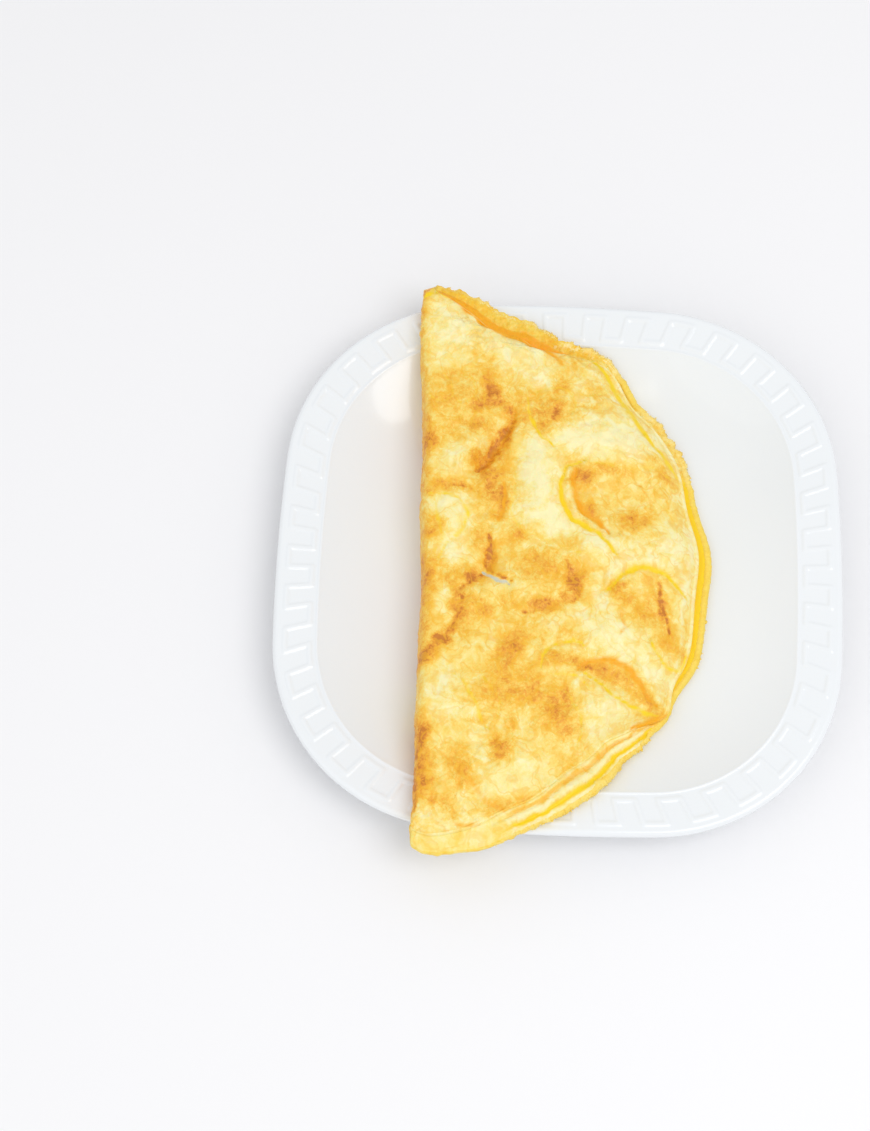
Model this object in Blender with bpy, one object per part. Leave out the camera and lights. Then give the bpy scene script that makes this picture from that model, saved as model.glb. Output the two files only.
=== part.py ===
"""A folded omelette on its square white plate.

Run with: blender --background --python part.py
Metres, +Z up. The plate stands on z = 0, and the origin is under the middle of the whole.
"""

import math

import bmesh
import bpy
from mathutils import Vector

MM = 0.001
OBJECT_NAME = "folded_omelette"

# Plate: a square with gently curved sides and round corners, all arcs tangent.
PLATE_WIDTH = 0.230
SIDE_RADIUS = 0.840
CORNER_RADIUS = 0.077
PLATE_HEIGHT = 0.021
PLATE_THICKNESS = 0.0043
EDGE_ROUND = 0.0020
RIM_WIDTH = 0.0183
RIM_DROP = 0.0026
WELL_FLOOR = 0.0065
WELL_REACH = 0.056
FOOT_FROM_EDGE = 0.0470
FOOT_WIDTH = 0.0045
FOOT_BEVEL = 0.0004
FOOT_RECESS = 0.0022
PLATE_SPOKES = 72
# Rings further in than this shrink towards the middle and no longer run parallel to the edge.
PARALLEL_REACH = 0.060

# Where the plate's rings lie, as distances in from its edge in mm: its top from the middle
# outwards, its underside from the edge to the foot, and inside the foot. Between top and
# underside, the turns in degrees round its blunt edge.
TOP_RINGS = (115, 90, 68, 56, 48, 41, 35, 29.5, 24, 18.3, 12, 6)
EDGE_TURNS = (90, 55, 0, -55, -90)
UNDER_RINGS = (9, 18.3, 25, 31, 37, 42, 46)
INNER_RINGS = (53, 80, 115)

# Omelette: a round sheet folded in half, lying across the plate from rim to rim.
FOLD_MIDDLE = Vector((-0.0566, -0.001))
FOLD_LEAN = -0.028
SHEET_RADIUS = 0.1185
TIP_ANGLE = 87.0
TIP_BULGE = 0.0010
GAP_TO_PLATE = 0.0010
OVERHANG_DROOP = 0.10
FLAP_THICKNESS = 0.0038
SLIT_HEIGHT = 0.0011
GROOVE_DEPTH = 0.009
NOSE_DEPTH = 0.0060
NOSE_FULLNESS = 2.4
FULL_FEATURES_FROM = 0.040
TOP_AT_MIDDLE = 0.0285
TOP_AT_TIPS = 0.0312
TIP_REACH = 0.120
EDGE_RISE = 0.011
PUFF_FADE = 0.008

# How far the rim strays from a circle: (degrees round the fold's middle, spread, reach in mm).
RIM_WAVES = (
    (90, 6, 3.0), (67, 12, -6.0), (40, 5, -2.5), (12, 7, -1.4),
    (-20, 9, 2.4), (-43, 6, -2.0), (-74, 20, 7.2), (-92, 4, -4.0),
)
# How far the upper flap stops short of the lower one, beyond the least inset.
LEAST_INSET = 0.0024
INSET_WAVES = ((76, 20, 4.6), (38, 9, 3.4), (-46, 14, 6.2), (-84, 10, 1.2))

# Soft rises and hollows of the top: (x, y, half length, half width, turn in degrees, height), mm.
PUFFS = (
    (-46, 98, 14, 11, 0, 1.3),
    (-18, 86, 20, 9, -30, 1.5),
    (-47, 63, 12, 9, 10, 1.2),
    (-9, 28, 20, 8, 88, 2.4),
    (18, 50, 22, 8, -10, 2.0),
    (24, 26, 18, 10, -10, -2.2),
    (-46, 12, 10, 9, 0, 1.5),
    (-29, 44, 13, 5, 62, -2.4),
    (18, 1, 16, 7, 8, 1.6),
    (36, -20, 11, 9, 70, -1.6),
    (22, -35, 13, 7, -25, 1.4),
    (24, -54, 17, 6, -28, -1.8),
    (18, -69, 12, 8, 30, 1.5),
    (-29, -8, 10, 5, 60, -2.0),
    (-8, -14, 13, 10, 0, 1.3),
    (-42, -64, 13, 10, 0, 1.6),
    (-18, -92, 15, 9, 10, 1.2),
)

# How many sections the omelette has, and how many points lie along each stretch of one.
STATIONS = 54
UNDERSIDE_POINTS = 11
EDGE_POINTS = 3
LEDGE_POINTS = 3
ROOF_POINTS = 2
TOP_POINTS = 11
NOSE_POINTS = 5

# The plate's arcs: a side's centre on its axis, a corner's centre on the diagonal, and the
# direction in which the two meet.
SIDE_CENTRE = Vector((PLATE_WIDTH / 2 - SIDE_RADIUS, 0.0))
CORNER_OFFSET = (
    SIDE_CENTRE.x + math.sqrt(2 * (SIDE_RADIUS - CORNER_RADIUS) ** 2 - SIDE_CENTRE.x**2)
) / 2
CORNER_CENTRE = Vector((CORNER_OFFSET, CORNER_OFFSET))
MEETING = (CORNER_CENTRE - SIDE_CENTRE).normalized()


def clear_scene():
    for old in list(bpy.data.objects):
        bpy.data.objects.remove(old, do_unlink=True)


def new_material(name, color, roughness, metallic=0.0):
    material = bpy.data.materials.new(name)
    material.use_nodes = True
    shader = material.node_tree.nodes["Principled BSDF"]
    shader.inputs["Base Color"].default_value = (*color, 1.0)
    shader.inputs["Roughness"].default_value = roughness
    shader.inputs["Metallic"].default_value = metallic
    return material


def new_object(name, bm, material, collection):
    """Turn a bmesh into a smooth-shaded object of that name in the collection."""
    bmesh.ops.remove_doubles(bm, verts=bm.verts, dist=1e-6)
    bmesh.ops.recalc_face_normals(bm, faces=bm.faces)
    mesh = bpy.data.meshes.new(name)
    bm.to_mesh(mesh)
    bm.free()
    mesh.materials.append(material)
    mesh.shade_smooth()
    mesh.set_sharp_from_angle(angle=math.radians(40))
    part = bpy.data.objects.new(name, mesh)
    collection.objects.link(part)
    return part


def between(start, end, count):
    """That many evenly spaced numbers from start to end, both included."""
    return [start + (end - start) * step / (count - 1) for step in range(count)]


def waves(angle, table):
    """Sum of bell-shaped waves at an angle in degrees, in metres."""
    return sum(reach * MM * math.exp(-(((angle - at) / spread) ** 2)) for at, spread, reach in table)


# Plate


def ray_to_arc(ray, centre, radius):
    """Distance from the middle of the plate, along a ray, to the far side of a circle."""
    along = ray.dot(centre)
    return along + math.sqrt(along**2 - centre.length_squared + radius**2)


def edge_distance(angle, inset):
    """Distance from the plate's middle to its outline moved in by inset, at an angle."""
    folded = abs((angle + math.pi / 4) % (math.pi / 2) - math.pi / 4)
    ray = Vector((math.cos(folded), math.sin(folded)))
    meeting_point = SIDE_CENTRE + MEETING * (SIDE_RADIUS - inset)
    if folded < math.atan2(meeting_point.y, meeting_point.x):
        return ray_to_arc(ray, SIDE_CENTRE, SIDE_RADIUS - inset)
    return ray_to_arc(ray, CORNER_CENTRE, CORNER_RADIUS - inset)


def inset_at(spot):
    """How far a spot lies in from the plate's edge; less than zero outside the plate."""
    folded = Vector((max(abs(spot.x), abs(spot.y)), min(abs(spot.x), abs(spot.y))))
    from_side = folded - SIDE_CENTRE
    if from_side.y * MEETING.x < from_side.x * MEETING.y:
        return SIDE_RADIUS - from_side.length
    return CORNER_RADIUS - (folded - CORNER_CENTRE).length


def plate_top(inset):
    """Height of the plate's upper face: a nearly flat rim, then a round-sided well."""
    if inset < RIM_WIDTH:
        return PLATE_HEIGHT - RIM_DROP * inset / RIM_WIDTH
    fall = min(1.0, (inset - RIM_WIDTH) / (WELL_REACH - RIM_WIDTH))
    return WELL_FLOOR + (PLATE_HEIGHT - RIM_DROP - WELL_FLOOR) * (1.0 - fall) ** 2


def plate_under(inset):
    return max(plate_top(inset) - PLATE_THICKNESS, FOOT_RECESS)


def plate_profile():
    """Half section of the plate from its middle over the rim and back, as (inset, height)."""
    profile = [(mm * MM, plate_top(mm * MM)) for mm in TOP_RINGS]
    edge_middle = plate_top(EDGE_ROUND) - PLATE_THICKNESS / 2
    for degrees in EDGE_TURNS:
        turn = math.radians(degrees)
        inset = EDGE_ROUND * (1.0 - math.cos(turn))
        profile.append((inset, edge_middle + PLATE_THICKNESS / 2 * math.sin(turn)))
    profile += [(mm * MM, plate_under(mm * MM)) for mm in UNDER_RINGS]
    foot_end = FOOT_FROM_EDGE + FOOT_WIDTH
    profile += [
        (FOOT_FROM_EDGE, FOOT_BEVEL),
        (FOOT_FROM_EDGE + FOOT_BEVEL, 0.0),
        (foot_end - FOOT_BEVEL, 0.0),
        (foot_end, FOOT_BEVEL),
    ]
    profile += [(mm * MM, plate_under(mm * MM)) for mm in INNER_RINGS]
    return profile


def make_plate(collection):
    """Turn the half section round, then push each ring out from a circle to the square outline."""
    half = PLATE_WIDTH / 2
    bm = bmesh.new()
    verts = [bm.verts.new((half - inset, 0.0, height)) for inset, height in plate_profile()]
    for start, end in zip(verts, verts[1:]):
        bm.edges.new((start, end))
    bmesh.ops.spin(
        bm, geom=bm.verts[:] + bm.edges[:], cent=(0.0, 0.0, 0.0), axis=(0.0, 0.0, 1.0),
        angle=math.tau, steps=PLATE_SPOKES, use_merge=True,
    )
    for vert in bm.verts:
        radius = vert.co.xy.length
        if radius < 1e-6:
            continue
        angle = math.atan2(vert.co.y, vert.co.x)
        inset = half - radius
        if inset < PARALLEL_REACH:
            reach = edge_distance(angle, inset)
        else:
            reach = edge_distance(angle, PARALLEL_REACH) * radius / (half - PARALLEL_REACH)
        vert.co.x = reach * math.cos(angle)
        vert.co.y = reach * math.sin(angle)
    glaze = new_material("white_glaze", (0.90, 0.90, 0.89), 0.12)
    return new_object("plate", bm, glaze, collection)


# Omelette


def rest_height(spot):
    """Underside of the omelette: just clear of the plate, and drooping a little beyond it."""
    inset = inset_at(spot)
    if inset < 0.0:
        return PLATE_HEIGHT + GAP_TO_PLATE + OVERHANG_DROOP * inset
    return plate_top(inset) + GAP_TO_PLATE


class Row:
    """A straight row of the folded sheet, from its fold to its rim."""

    def __init__(self, angle, inset):
        tip = math.copysign(90.0, angle)
        turn = math.radians(angle)
        tip_radius = SHEET_RADIUS + waves(tip, RIM_WAVES) - inset
        rim_radius = SHEET_RADIUS + waves(angle, RIM_WAVES) - inset
        fold_y = tip_radius * math.sin(turn)
        self.fold = FOLD_MIDDLE + Vector((FOLD_LEAN * fold_y, fold_y))
        self.rim = FOLD_MIDDLE + rim_radius * Vector((math.cos(turn), math.sin(turn)))
        self.length = (self.rim - self.fold).length

    def at(self, distance):
        return self.fold.lerp(self.rim, distance / self.length)


def puff_height(spot):
    """Sum of the soft rises and hollows at a spot."""
    total = 0.0
    for x, y, half_length, half_width, degrees, height in PUFFS:
        turn = math.radians(degrees)
        away = spot - Vector((x * MM, y * MM))
        along = (away.x * math.cos(turn) + away.y * math.sin(turn)) / (half_length * MM)
        across = (away.y * math.cos(turn) - away.x * math.sin(turn)) / (half_width * MM)
        total += height * MM * math.exp(-(along**2) - across**2)
    return total


def top_height(row, distance):
    """Top of the upper flap, that far from the fold: thin at the edge, full further in."""
    flap_end = row.length - FLAP_THICKNESS / 2
    edge = rest_height(row.at(flap_end)) + 2 * FLAP_THICKNESS + SLIT_HEIGHT
    spot = row.at(distance)
    crown = TOP_AT_MIDDLE + (TOP_AT_TIPS - TOP_AT_MIDDLE) * (spot.y / TIP_REACH) ** 2
    rise = 1.0 - math.exp(-max(flap_end - distance, 0.0) / EDGE_RISE)
    fade = 1.0 - math.exp(-distance / PUFF_FADE)
    return edge + (crown + puff_height(spot) * fade - edge) * rise


def on_edge(row, bottom, turn):
    """Point on a flap's round edge, at a turn from its underside (-90) to its top (90)."""
    radius = FLAP_THICKNESS / 2
    spot = row.at(row.length - radius + radius * math.cos(turn))
    return spot.to_3d() + Vector((0, 0, rest_height(spot) + bottom + radius * (1 + math.sin(turn))))


def section(angle):
    """Closed section of the omelette: underside, lower edge, groove, upper edge, top and fold."""
    inset = LEAST_INSET + waves(angle, INSET_WAVES)
    lower = Row(angle, 0.0)
    upper = Row(angle, inset)
    size = min(1.0, lower.length / FULL_FEATURES_FROM)
    nose = NOSE_DEPTH * size
    groove = GROOVE_DEPTH * size
    radius = FLAP_THICKNESS / 2
    groove_end = upper.length - radius - groove
    round_turns = [math.radians(d) for d in between(-90, 90, EDGE_POINTS + 2)][1:-1]

    def lifted(row, distance, height):
        spot = row.at(distance)
        return Vector((spot.x, spot.y, rest_height(spot) + height))

    loop = [lifted(lower, d, 0.0) for d in between(nose, lower.length - radius, UNDERSIDE_POINTS)]
    loop += [on_edge(lower, 0.0, turn) for turn in round_turns]
    ledge = between(lower.length - radius, groove_end, LEDGE_POINTS)
    loop += [lifted(lower, d, FLAP_THICKNESS) for d in ledge]
    loop.append(lifted(upper, groove_end - radius * size, FLAP_THICKNESS + SLIT_HEIGHT / 2))
    roof = between(groove_end, upper.length - radius, ROOF_POINTS)
    loop += [lifted(upper, d, FLAP_THICKNESS + SLIT_HEIGHT) for d in roof]
    loop += [on_edge(upper, FLAP_THICKNESS + SLIT_HEIGHT, turn) for turn in round_turns]
    for distance in between(upper.length - radius, nose, TOP_POINTS):
        loop.append(upper.at(distance).to_3d() + Vector((0, 0, top_height(upper, distance))))

    low = loop[0]
    high = loop[-1]
    power = 2.0 / NOSE_FULLNESS
    for degrees in between(90, -90, NOSE_POINTS + 2)[1:-1]:
        turn = math.radians(degrees)
        share = 0.5 + 0.5 * math.copysign(abs(math.sin(turn)) ** power, turn)
        point = low.lerp(high, share)
        point.x -= nose * math.cos(turn) ** power
        loop.append(point)
    return loop


def make_omelette(collection):
    """Skin the sections from tip to tip, and close each tip on a pole."""
    sections = [section(angle) for angle in between(-TIP_ANGLE, TIP_ANGLE, STATIONS)]
    count = len(sections[0])
    poles = []
    for loop, outward in ((sections[0], -1.0), (sections[-1], 1.0)):
        middle = sum(loop, Vector()) / count
        poles.append([middle + Vector((0.0, outward * TIP_BULGE, 0.0))] * count)
    sections = [poles[0]] + sections + [poles[1]]

    rows = len(sections) - 1
    bm = bmesh.new()
    bmesh.ops.create_grid(bm, x_segments=rows, y_segments=count, size=1.0)
    for vert in bm.verts:
        row = round((vert.co.x + 1.0) / 2.0 * rows)
        column = round((vert.co.y + 1.0) / 2.0 * count)
        vert.co = sections[row][column % count]
    egg = new_material("browned_egg", (0.93, 0.70, 0.27), 0.50)
    return new_object("omelette", bm, egg, collection)


def centre_on_origin(parts):
    """Move every mesh so that the middle of the whole stands on the origin."""
    corners = [Vector(corner) for part in parts for corner in part.bound_box]
    low = Vector([min(corner[axis] for corner in corners) for axis in range(3)])
    high = Vector([max(corner[axis] for corner in corners) for axis in range(3)])
    for part in parts:
        for vert in part.data.vertices:
            vert.co -= Vector(((low.x + high.x) / 2, (low.y + high.y) / 2, low.z))


def main():
    clear_scene()
    collection = bpy.data.collections.new(OBJECT_NAME)
    bpy.context.scene.collection.children.link(collection)
    parts = [make_plate(collection), make_omelette(collection)]
    centre_on_origin(parts)


main()
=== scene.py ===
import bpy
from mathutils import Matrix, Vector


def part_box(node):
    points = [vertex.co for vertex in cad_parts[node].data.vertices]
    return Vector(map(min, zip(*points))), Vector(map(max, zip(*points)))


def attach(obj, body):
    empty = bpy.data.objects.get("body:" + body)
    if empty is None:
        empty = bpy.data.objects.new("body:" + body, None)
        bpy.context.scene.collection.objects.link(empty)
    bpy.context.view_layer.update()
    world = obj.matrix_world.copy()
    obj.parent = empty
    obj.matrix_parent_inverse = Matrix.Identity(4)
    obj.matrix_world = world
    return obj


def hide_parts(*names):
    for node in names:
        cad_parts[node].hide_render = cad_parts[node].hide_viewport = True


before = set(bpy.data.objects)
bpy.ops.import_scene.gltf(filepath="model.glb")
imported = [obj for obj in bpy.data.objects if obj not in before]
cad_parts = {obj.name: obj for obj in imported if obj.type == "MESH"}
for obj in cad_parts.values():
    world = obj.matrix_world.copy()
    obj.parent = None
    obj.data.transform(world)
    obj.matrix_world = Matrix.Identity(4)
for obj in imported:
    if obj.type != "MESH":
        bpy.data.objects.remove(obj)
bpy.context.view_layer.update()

import math

import bmesh
import bpy
import numpy as np
from mathutils import Matrix, Vector, noise

mm = 0.001
plateLow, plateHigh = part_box("plate")
plateMiddle = np.array([(plateLow.x + plateHigh.x) / 2, (plateLow.y + plateHigh.y) / 2, 0.0])
print("frame loaded, plate middle", plateMiddle)


# helpers for shader sums

def hexColour(code):
    channels = [int(code[i:i + 2], 16) / 255 for i in (0, 2, 4)]
    linear = [c / 12.92 if c < 0.04045 else ((c + 0.055) / 1.055) ** 2.4 for c in channels]
    return (*linear, 1.0)


class Wire:
    # a shader socket that can be added, multiplied and so on like a number

    def __init__(self, tree, socket):
        self.tree = tree
        self.socket = socket

    def sum(self, operation, *values):
        return Finish.add(self.tree, "ShaderNodeMath", {"operation": operation}, dict(enumerate(values)))

    def __add__(self, other):
        return self.sum("ADD", self, other)

    def __sub__(self, other):
        return self.sum("SUBTRACT", self, other)

    def __rsub__(self, other):
        return self.sum("SUBTRACT", other, self)

    def __mul__(self, other):
        return self.sum("MULTIPLY", self, other)

    def clamped(self):
        return Finish.add(self.tree, "ShaderNodeClamp", {}, {"Value": self})

    def between(self, low, high):
        # 0 below low, 1 above high, eased in between
        return Finish.add(
            self.tree, "ShaderNodeMapRange", {"interpolation_type": "SMOOTHSTEP"},
            {"Value": self, "From Min": low, "From Max": high},
        )

    __radd__ = __add__
    __rmul__ = __mul__


class Finish:
    # a material with one Principled shader, and short ways to add nodes to it

    def __init__(self, name, **settings):
        self.material = bpy.data.materials.new(name)
        self.material.use_nodes = True
        self.tree = self.material.node_tree
        self.shader = self.tree.nodes["Principled BSDF"]
        for socket, value in settings.items():
            self.shader.inputs[socket.replace("_", " ")].default_value = value

    @staticmethod
    def add(tree, kind, settings, inputs, output=0):
        node = tree.nodes.new(kind)
        for key, value in settings.items():
            if key == "stops":
                ramp = node.color_ramp
                while len(ramp.elements) < len(value):
                    ramp.elements.new(1.0)
                for element, (place, code) in zip(ramp.elements, value):
                    element.position = place
                    element.color = hexColour(code)
            else:
                setattr(node, key, value)
        for key, value in inputs.items():
            if isinstance(value, Wire):
                tree.links.new(value.socket, node.inputs[key])
            elif isinstance(value, str):
                node.inputs[key].default_value = hexColour(value)
            else:
                node.inputs[key].default_value = value
        return Wire(tree, node.outputs[output])

    def node(self, kind, settings=None, inputs=None, output=0):
        return Finish.add(self.tree, kind, settings or {}, inputs or {}, output)

    def place(self):
        return self.node("ShaderNodeTexCoord", output="Object")

    def painted(self, name):
        return self.node("ShaderNodeAttribute", {"attribute_name": name}, output="Fac")

    def noise(self, place, size, detail=2.0, roughness=0.5, distortion=0.0):
        # size is the width of the pattern's patches, in metres
        return self.node("ShaderNodeTexNoise", {}, {
            "Vector": place, "Scale": 1.0 / size, "Detail": detail,
            "Roughness": roughness, "Distortion": distortion,
        })

    def mix(self, amount, first, second, blend="MIX"):
        # inputs 6 and 7 are the two colours of a Mix node
        return self.node(
            "ShaderNodeMix", {"data_type": "RGBA", "blend_type": blend, "clamp_factor": True},
            {0: amount, 6: first, 7: second}, output=2,
        )

    def bent(self, place, size, reach):
        # the place pushed about by a noise, so patterns wander
        wander = self.node("ShaderNodeTexNoise", {}, {
            "Vector": place, "Scale": 1.0 / size, "Detail": 2.0,
        }, output=1)
        return self.node("ShaderNodeVectorMath", {"operation": "MULTIPLY_ADD"}, {
            0: wander, 1: (reach, reach, reach), 2: place,
        })

    def ridge(self, wire):
        # thin crests where a noise crosses its middle
        return 1 - self.node("ShaderNodeMath", {"operation": "ABSOLUTE"}, {0: 4 * (wire - 0.5)})

    def bump(self, height, strength, distance):
        made = self.node("ShaderNodeBump", {}, {"Height": height, "Strength": strength, "Distance": distance})
        self.link(made, "Normal")

    def link(self, wire, socket):
        self.tree.links.new(wire.socket, self.shader.inputs[socket])


# helpers for meshes

def layGrid(name, points, layers, material):
    # a grid from bmesh, moved onto points (rows, columns, 3), its last column joined to the first
    rows, columns = points.shape[:2]
    bm = bmesh.new()
    bmesh.ops.create_grid(bm, x_segments=rows - 1, y_segments=columns, size=1.0)
    mesh = bpy.data.meshes.new(name)
    bm.to_mesh(mesh)
    flat = np.empty(len(mesh.vertices) * 3, np.float32)
    mesh.vertices.foreach_get("co", flat)
    flat = flat.reshape(-1, 3)
    row = np.rint((flat[:, 0] + 1) / 2 * (rows - 1)).astype(int)
    column = np.rint((flat[:, 1] + 1) / 2 * columns).astype(int) % columns
    placed = points[row, column] * mm + plateMiddle
    mesh.vertices.foreach_set("co", placed.astype(np.float32).ravel())
    for key, values in layers.items():
        layer = mesh.attributes.new(key, "FLOAT", "POINT")
        layer.data.foreach_set("value", values[row, column].astype(np.float32))
    bm.clear()
    bm.from_mesh(mesh)
    bmesh.ops.remove_doubles(bm, verts=bm.verts, dist=1e-6)
    bmesh.ops.recalc_face_normals(bm, faces=bm.faces)
    bm.to_mesh(mesh)
    bm.free()
    return finishObject(name, mesh, material)


def finishObject(name, mesh, material):
    mesh.shade_smooth()
    mesh.materials.append(material)
    piece = bpy.data.objects.new(name, mesh)
    bpy.context.scene.collection.objects.link(piece)
    print(name, len(mesh.vertices), "vertices")
    return piece


def noiseField(x, y, size, octaves=2, seed=0.0):
    # smooth noise about 0 over spots x, y in mm; size is the width of its patches
    flat = [
        noise.fractal(Vector((a / size, b / size, seed)), 0.9, 2.0, octaves)
        for a, b in zip(np.ravel(x), np.ravel(y))
    ]
    return np.array(flat).reshape(np.shape(x))


def smooth(value, low, high):
    share = np.clip((value - low) / (high - low), 0.0, 1.0)
    return share * share * (3 - 2 * share)


def bells(angle, table):
    # sum of bell-shaped waves at angles in degrees: (middle, spread, height)
    return sum(height * np.exp(-((angle - middle) / spread) ** 2) for middle, spread, height in table)


def fromOval(x, y, midX, midY, long, wide, degrees):
    # square of the distance from an oval's middle: 1 on its outline
    turn = math.radians(degrees)
    along = ((x - midX) * math.cos(turn) + (y - midY) * math.sin(turn)) / long
    across = ((y - midY) * math.cos(turn) - (x - midX) * math.sin(turn)) / wide
    return along ** 2 + across ** 2


def patches(x, y, table, sharpness=0.7):
    # the strongest of the soft ovals at each spot
    best = np.zeros(np.shape(x))
    for *oval, strength in table:
        best = np.maximum(best, strength * np.exp(-sharpness * fromOval(x, y, *oval)))
    return best


def hills(x, y, table):
    # the sum of soft rises and hollows at each spot
    return sum(height * np.exp(-fromOval(x, y, *oval)) for *oval, height in table)


def nearness(x, y, route, width):
    # 1 on a route through the given spots, fading over its width; thinner towards its ends
    best = np.zeros(np.shape(x))
    spots = smoothRoute(route)
    count = len(spots) - 1
    for step, ((x0, y0), (x1, y1)) in enumerate(zip(spots, spots[1:])):
        dx, dy = x1 - x0, y1 - y0
        share = np.clip(((x - x0) * dx + (y - y0) * dy) / (dx * dx + dy * dy), 0, 1)
        away = np.hypot(x - x0 - share * dx, y - y0 - share * dy)
        taper = 0.45 + 0.55 * math.sin(math.pi * (step + 0.5) / count)
        best = np.maximum(best, np.exp(-(away / (width * taper)) ** 2))
    return best


def smoothRoute(route, steps=5):
    # more spots along a smooth curve through the route's own
    spots = [route[0], *route, route[-1]]
    out = []
    for a, b, c, d in zip(spots, spots[1:], spots[2:], spots[3:]):
        for step in range(steps):
            t = step / steps
            out.append(tuple(
                0.5 * (2 * q + (r - p) * t + (2 * p - 5 * q + 4 * r - s) * t ** 2
                       + (3 * q - p - 3 * r + s) * t ** 3)
                for p, q, r, s in zip(a, b, c, d)
            ))
    out.append(tuple(route[-1]))
    return out


# plate

plate = {
    "sideRadius": 840.0, "cornerRadius": 77.0, "thickness": 4.3, "edgeRound": 2.0,
    "rimWidth": 18.3, "rimDrop": 2.6, "floor": 6.5, "wellReach": 56.0,
    "footFrom": 47.0, "footWidth": 4.5, "footRecess": 2.2,
    # the raised key line on the rim, and the thin line inside it
    "keys": 40, "keyOuter": 5.0, "keyInner": 14.8, "keyWidth": 0.9,
    "keyHeight": 0.34, "lineInset": 17.7, "lineHeight": 0.22,
    # where the mesh's spokes stand between two legs of the key line, closer together at a leg
    "spokes": (0, 0.0667, 0.1067, 0.1511, 0.2222, 0.3556, 0.5, 0.6444, 0.7778, 0.8489, 0.8933, 0.9333),
    "roughness": 0.11, "whites": ("ecf0f3", "f0f3f6"), "speck": "d9d6cf", "speckAmount": 0.10,
}
plateHalf = (plateHigh.x - plateLow.x) / 2 / mm
rimTop = plateHigh.z / mm + plate["rimDrop"] * plate["edgeRound"] / plate["rimWidth"]

# the outline's arcs: a side's centre on its axis, a corner's on the diagonal
sideCentre = plateHalf - plate["sideRadius"]
arcGap = plate["sideRadius"] - plate["cornerRadius"]
cornerCentre = (sideCentre + math.sqrt(2 * arcGap ** 2 - sideCentre ** 2)) / 2
meetAngle = math.atan2(cornerCentre, cornerCentre - sideCentre)


def insetAt(x, y):
    # how far a spot lies in from the plate's edge, in mm; below zero outside it
    big = np.maximum(np.abs(x), np.abs(y))
    small = np.minimum(np.abs(x), np.abs(y))
    side = plate["sideRadius"] - np.hypot(big - sideCentre, small)
    corner = plate["cornerRadius"] - np.hypot(big - cornerCentre, small - cornerCentre)
    return np.where(np.arctan2(small, big - sideCentre) < meetAngle, side, corner)


def edgeDistance(angle, inset):
    # from the plate's middle to that far in from its edge, along an angle
    folded = np.abs((angle + math.pi / 4) % (math.pi / 2) - math.pi / 4)
    rayX, rayY = np.cos(folded), np.sin(folded)
    meetX = sideCentre + math.cos(meetAngle) * (plate["sideRadius"] - inset)
    meetY = math.sin(meetAngle) * (plate["sideRadius"] - inset)

    def toArc(centreX, centreY, radius):
        along = rayX * centreX + rayY * centreY
        return along + np.sqrt(along ** 2 - centreX ** 2 - centreY ** 2 + radius ** 2)

    side = toArc(sideCentre, 0.0, plate["sideRadius"] - inset)
    corner = toArc(cornerCentre, cornerCentre, np.maximum(plate["cornerRadius"] - inset, 1.0))
    return np.where(folded < np.arctan2(meetY, meetX), side, corner)


def plateTop(inset):
    crease = rimTop - plate["rimDrop"]
    rim = rimTop - plate["rimDrop"] * inset / plate["rimWidth"]
    fall = np.clip((inset - plate["rimWidth"]) / (plate["wellReach"] - plate["rimWidth"]), 0, 1)
    well = plate["floor"] + (crease - plate["floor"]) * (1 - fall) ** 2
    return np.where(inset < plate["rimWidth"], rim, well)


def plateRings():
    # the half section from the middle over the rim and back underneath, as (inset, height)
    edge, thick = plate["edgeRound"], plate["thickness"]
    insets = [plateHalf - 0.02, 105, 92, 80, 70, 62]
    insets += list(np.linspace(plate["wellReach"], plate["rimWidth"] + 1.4, 16))
    for middle, spread in ((plate["lineInset"], 0.75), (plate["keyInner"], 1.5), (plate["keyOuter"], 1.5)):
        insets += [middle + spread * share for share in (1, 0.72, 0.45, 0, -0.45, -0.72, -1)]
        if middle == plate["keyInner"]:
            insets += list(np.linspace(plate["keyInner"] - 2.4, plate["keyOuter"] + 2.4, 5))
    insets += [2.6]
    rings = [(inset, float(plateTop(inset))) for inset in insets]
    edgeMiddle = float(plateTop(edge)) - thick / 2
    for turn in np.radians([90, 68, 45, 22, 0, -22, -45, -68, -90]):
        rings.append((edge * (1 - math.cos(turn)), edgeMiddle + thick / 2 * math.sin(turn)))
    under = [4, 8, 13, 18.3, 22, 26, 30, 34, 38, 42, 45, 46.4]
    rings += [(inset, float(plateTop(inset)) - thick) for inset in under]
    first, last = plate["footFrom"], plate["footFrom"] + plate["footWidth"]
    rings += [(first, 0.45), (first + 0.15, 0.15), (first + 0.45, 0.0)]
    rings += [(last - 0.45, 0.0), (last - 0.15, 0.15), (last, 0.45), (last + 0.6, 1.7)]
    recess = plate["footRecess"]
    rings += [(last + 1.4, recess), (75, recess), (95, recess), (plateHalf - 0.02, recess)]
    return np.array(rings)


def keyRelief(radius, inset, turn):
    # the raised key line: a square wave between two distances from the edge
    half = math.pi / plate["keys"]
    share = (turn / half) % 2.0
    run = np.where(share < 1.0, plate["keyOuter"], plate["keyInner"])
    toLeg = np.abs(share - np.rint(share)) * half * radius
    past = np.maximum(np.maximum(plate["keyOuter"] - inset, inset - plate["keyInner"]), 0)
    away = np.minimum(np.abs(inset - run), np.hypot(toLeg, past))
    key = plate["keyHeight"] * (1 - smooth(away, plate["keyWidth"] * 0.6, plate["keyWidth"] * 1.5))
    line = plate["lineHeight"] * (1 - smooth(np.abs(inset - plate["lineInset"]), 0.2, 0.7))
    return key + line


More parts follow.
